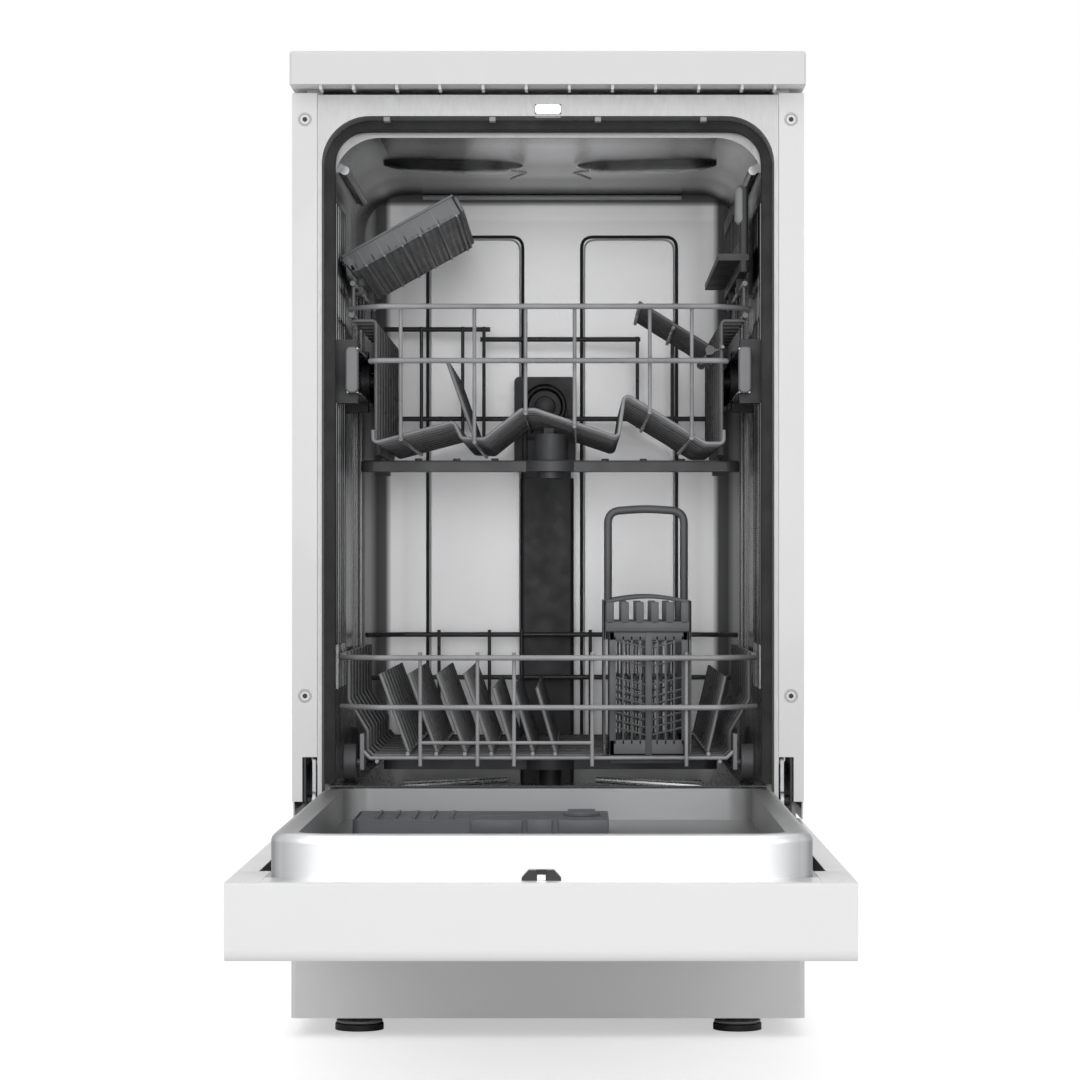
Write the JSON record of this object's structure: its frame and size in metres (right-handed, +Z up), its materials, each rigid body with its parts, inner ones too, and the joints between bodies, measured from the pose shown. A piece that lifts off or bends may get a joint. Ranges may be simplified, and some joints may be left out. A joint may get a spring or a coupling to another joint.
{
  "type": "slimline dishwasher",
  "caption": "Freestanding narrow dishwasher with its door lowered, two sliding wire baskets, spray arms, cutlery basket and a white cabinet with worktop.",
  "frame": {"origin": "middle of the floor area that the machine and its open door cover", "axes": "+Z up, -Y from the back towards the front and the open door, +X to the right when facing the machine"},
  "size_m": [0.448, 1.145, 0.857],
  "materials": {
    "worktop_white": "smooth white laminate",
    "cabinet_white": "smooth white enamel",
    "console_white": "satin",
    "galvanised": "dull zinc",
    "tub_steel": "satin",
    "plain_steel": "bright",
    "screw_steel": "bright",
    "seal_black": "matte",
    "black_plastic": "matte",
    "dark_grey_plastic": "matte",
    "mid_grey_plastic": "matte",
    "light_grey_plastic": "satin",
    "base_plastic": "matte",
    "board_green": "satin",
    "coated_wire": "satin grey coating",
    "clear_plastic": "milky"
  },
  "bodies": {
    "cabinet": {"worktop": "worktop_white", "side_panel_left": "cabinet_white", "side_panel_right": "cabinet_white", "cabinet_screws": "screw_steel", "back_panel": "galvanised", "plinth": "cabinet_white", "base_tray": "base_plastic", "tub_wrapper": "tub_steel", "tub_back": "tub_steel", "tub_floor": "tub_steel", "tub_front_frame": "tub_steel", "tub_gasket": "seal_black", "door_striker": "plain_steel", "hinge_plates": "galvanised", "door_springs": "plain_steel", "sump": "dark_grey_plastic", "filter_plate": "tub_steel", "circulation_pump": "black_plastic", "drain_pump": "black_plastic", "inlet_valve": "light_grey_plastic", "air_break": "clear_plastic", "rear_duct": "dark_grey_plastic", "duct_docking": "dark_grey_plastic", "roller_brackets": "dark_grey_plastic"},
    "door": {"door_liner": "tub_steel", "door_outer_panel": "cabinet_white", "console": "console_white", "door_screws": "screw_steel", "hinge_arms": "galvanised", "latch_housing": "black_plastic", "dispenser_body": "mid_grey_plastic", "control_board": "board_green"},
    "upper_basket": {"upper_basket_frame": "coated_wire", "height_adjusters": "dark_grey_plastic", "upper_feed_pipe": "mid_grey_plastic"},
    "rails": {"upper_rails": "plain_steel", "rail_caps": "light_grey_plastic"},
    "lower_basket": {"lower_basket_frame": "coated_wire", "lower_tines": "coated_wire"},
    "foot_front_left_body": {"foot_front_left": "black_plastic"},
    "foot_front_right_body": {"foot_front_right": "black_plastic"},
    "foot_rear_left_body": {"foot_rear_left": "black_plastic"},
    "foot_rear_right_body": {"foot_rear_right": "black_plastic"},
    "button_power_body": {"button_power": "light_grey_plastic"},
    "button_program_body": {"button_program": "light_grey_plastic"},
    "button_start_body": {"button_start": "light_grey_plastic"},
    "latch_hook_body": {"latch_hook": "plain_steel"},
    "dispenser_lid_body": {"dispenser_lid": "mid_grey_plastic"},
    "rinse_aid_cap_body": {"rinse_aid_cap": "light_grey_plastic"},
    "filter_cup_body": {"filter_cup": "mid_grey_plastic"},
    "pump_impeller_body": {"pump_impeller": "black_plastic"},
    "lower_spray_arm_body": {"lower_spray_arm": "mid_grey_plastic"},
    "upper_spray_arm_body": {"upper_spray_arm": "mid_grey_plastic"},
    "upper_tines_body": {"upper_tines": "coated_wire"},
    "cutlery_tray_body": {"cutlery_tray": "mid_grey_plastic"},
    "cup_shelf_body": {"cup_shelf": "dark_grey_plastic"},
    "wire_cup_rack_body": {"wire_cup_rack": "coated_wire"},
    "front_wheels_body": {"front_wheels": "mid_grey_plastic"},
    "rear_wheels_body": {"rear_wheels": "mid_grey_plastic"},
    "cutlery_basket_body": {"cutlery_basket": "mid_grey_plastic"}
  },
  "joints": [
    {"name": "door_hinge", "type": "hinge", "parent": "cabinet", "child": "door", "pos_m": [0, 0.0455, 0.204], "axis": [1, 0, 0], "range_deg": [-90, 0], "deforming": ["door_springs"]},
    {"name": "upper_basket_slide", "type": "slide", "parent": "cabinet", "child": "upper_basket", "axis": [0, -1, 0], "range_m": [0, 0.34]},
    {"name": "rails_slide", "type": "slide", "parent": "cabinet", "child": "rails", "axis": [0, -1, 0], "range_m": [0, 0.17]},
    {"name": "lower_basket_slide", "type": "slide", "parent": "cabinet", "child": "lower_basket", "axis": [0, -1, 0], "range_m": [0, 0.4]},
    {"name": "latch_hook_hinge", "type": "hinge", "parent": "door", "child": "latch_hook_body", "pos_m": [0, -0.5495, 0.1715], "axis": [1, 0, 0], "range_deg": [0, 10], "stiffness_Nm_per_rad": 0.02, "springref_deg": -11.46},
    {"name": "dispenser_lid_hinge", "type": "hinge", "parent": "door", "child": "dispenser_lid_body", "pos_m": [-0.15175, -0.1775, 0.20445], "axis": [0, 1, 0], "range_deg": [-100, 0]},
    {"name": "rinse_aid_cap_turn", "type": "hinge", "parent": "door", "child": "rinse_aid_cap_body", "pos_m": [0.029, -0.1775, 0.206], "axis": [0, 0, 1], "range_deg": [0, 90]},
    {"name": "filter_cup_turn", "type": "hinge", "parent": "cabinet", "child": "filter_cup_body", "pos_m": [0.036, 0.2755, 0.19], "axis": [0, 0, 1], "range_deg": [0, 60]},
    {"name": "pump_impeller_spin", "type": "hinge", "parent": "cabinet", "child": "pump_impeller_body", "pos_m": [-0.085, 0.2895, 0.148], "axis": [1, 0, 0], "continuous": true},
    {"name": "lower_spray_arm_spin", "type": "hinge", "parent": "cabinet", "child": "lower_spray_arm_body", "pos_m": [0, 0.2895, 0.2185], "axis": [0, 0, 1], "continuous": true},
    {"name": "upper_spray_arm_spin", "type": "hinge", "parent": "upper_basket", "child": "upper_spray_arm_body", "pos_m": [0, 0.2725, 0.505], "axis": [0, 0, 1], "continuous": true},
    {"name": "upper_tines_fold", "type": "hinge", "parent": "upper_basket", "child": "upper_tines_body", "pos_m": [-0.067, 0.2725, 0.5268], "axis": [0, -1, 0], "range_deg": [0, 30]},
    {"name": "cutlery_tray_tilt", "type": "hinge", "parent": "upper_basket", "child": "cutlery_tray_body", "pos_m": [-0.176, 0.2675, 0.664], "axis": [0, 1, 0], "range_deg": [0, 29]},
    {"name": "cup_shelf_fold", "type": "hinge", "parent": "upper_basket", "child": "cup_shelf_body", "pos_m": [0.176, 0.2675, 0.664], "axis": [0, -1, 0], "range_deg": [0, 90]},
    {"name": "wire_cup_rack_fold", "type": "hinge", "parent": "upper_basket", "child": "wire_cup_rack_body", "pos_m": [0.146, 0.2535, 0.606], "axis": [0, -1, 0], "range_deg": [-55, 0]},
    {"name": "front_wheels_roll", "type": "hinge", "parent": "lower_basket", "child": "front_wheels_body", "pos_m": [0, 0.1075, 0.2344], "axis": [1, 0, 0], "range_deg": [0, 1392]},
    {"name": "rear_wheels_roll", "type": "hinge", "parent": "lower_basket", "child": "rear_wheels_body", "pos_m": [0, 0.4475, 0.2344], "axis": [1, 0, 0], "range_deg": [0, 1392]},
    {"name": "cutlery_basket_lift", "type": "slide", "parent": "lower_basket", "child": "cutlery_basket_body", "axis": [0, 0, 1], "range_m": [0, 0.03]},
    {"name": "button_power_press", "type": "slide", "parent": "door", "child": "button_power_body", "axis": [0, 0, 1], "range_m": [0, 0.002], "stiffness_N_per_m": 300, "springref_m": -0.001},
    {"name": "button_program_press", "type": "slide", "parent": "door", "child": "button_program_body", "axis": [0, 0, 1], "range_m": [0, 0.002], "stiffness_N_per_m": 300, "springref_m": -0.001},
    {"name": "button_start_press", "type": "slide", "parent": "door", "child": "button_start_body", "axis": [0, 0, 1], "range_m": [0, 0.002], "stiffness_N_per_m": 300, "springref_m": -0.001},
    {"name": "foot_front_left_screw", "type": "slide", "parent": "cabinet", "child": "foot_front_left_body", "axis": [0, 0, -1], "range_m": [0, 0.02]},
    {"name": "foot_front_right_screw", "type": "slide", "parent": "cabinet", "child": "foot_front_right_body", "axis": [0, 0, -1], "range_m": [0, 0.02]},
    {"name": "foot_rear_left_screw", "type": "slide", "parent": "cabinet", "child": "foot_rear_left_body", "axis": [0, 0, -1], "range_m": [0, 0.02]},
    {"name": "foot_rear_right_screw", "type": "slide", "parent": "cabinet", "child": "foot_rear_right_body", "axis": [0, 0, -1], "range_m": [0, 0.02]}
  ],
  "couplings": [
    {"joint": "rails_slide", "follows": "upper_basket_slide", "ratio": 0.5},
    {"joint": "front_wheels_roll", "follows": "lower_basket_slide", "rad_per_m": 60.606},
    {"joint": "rear_wheels_roll", "follows": "lower_basket_slide", "rad_per_m": 60.606}
  ]
}
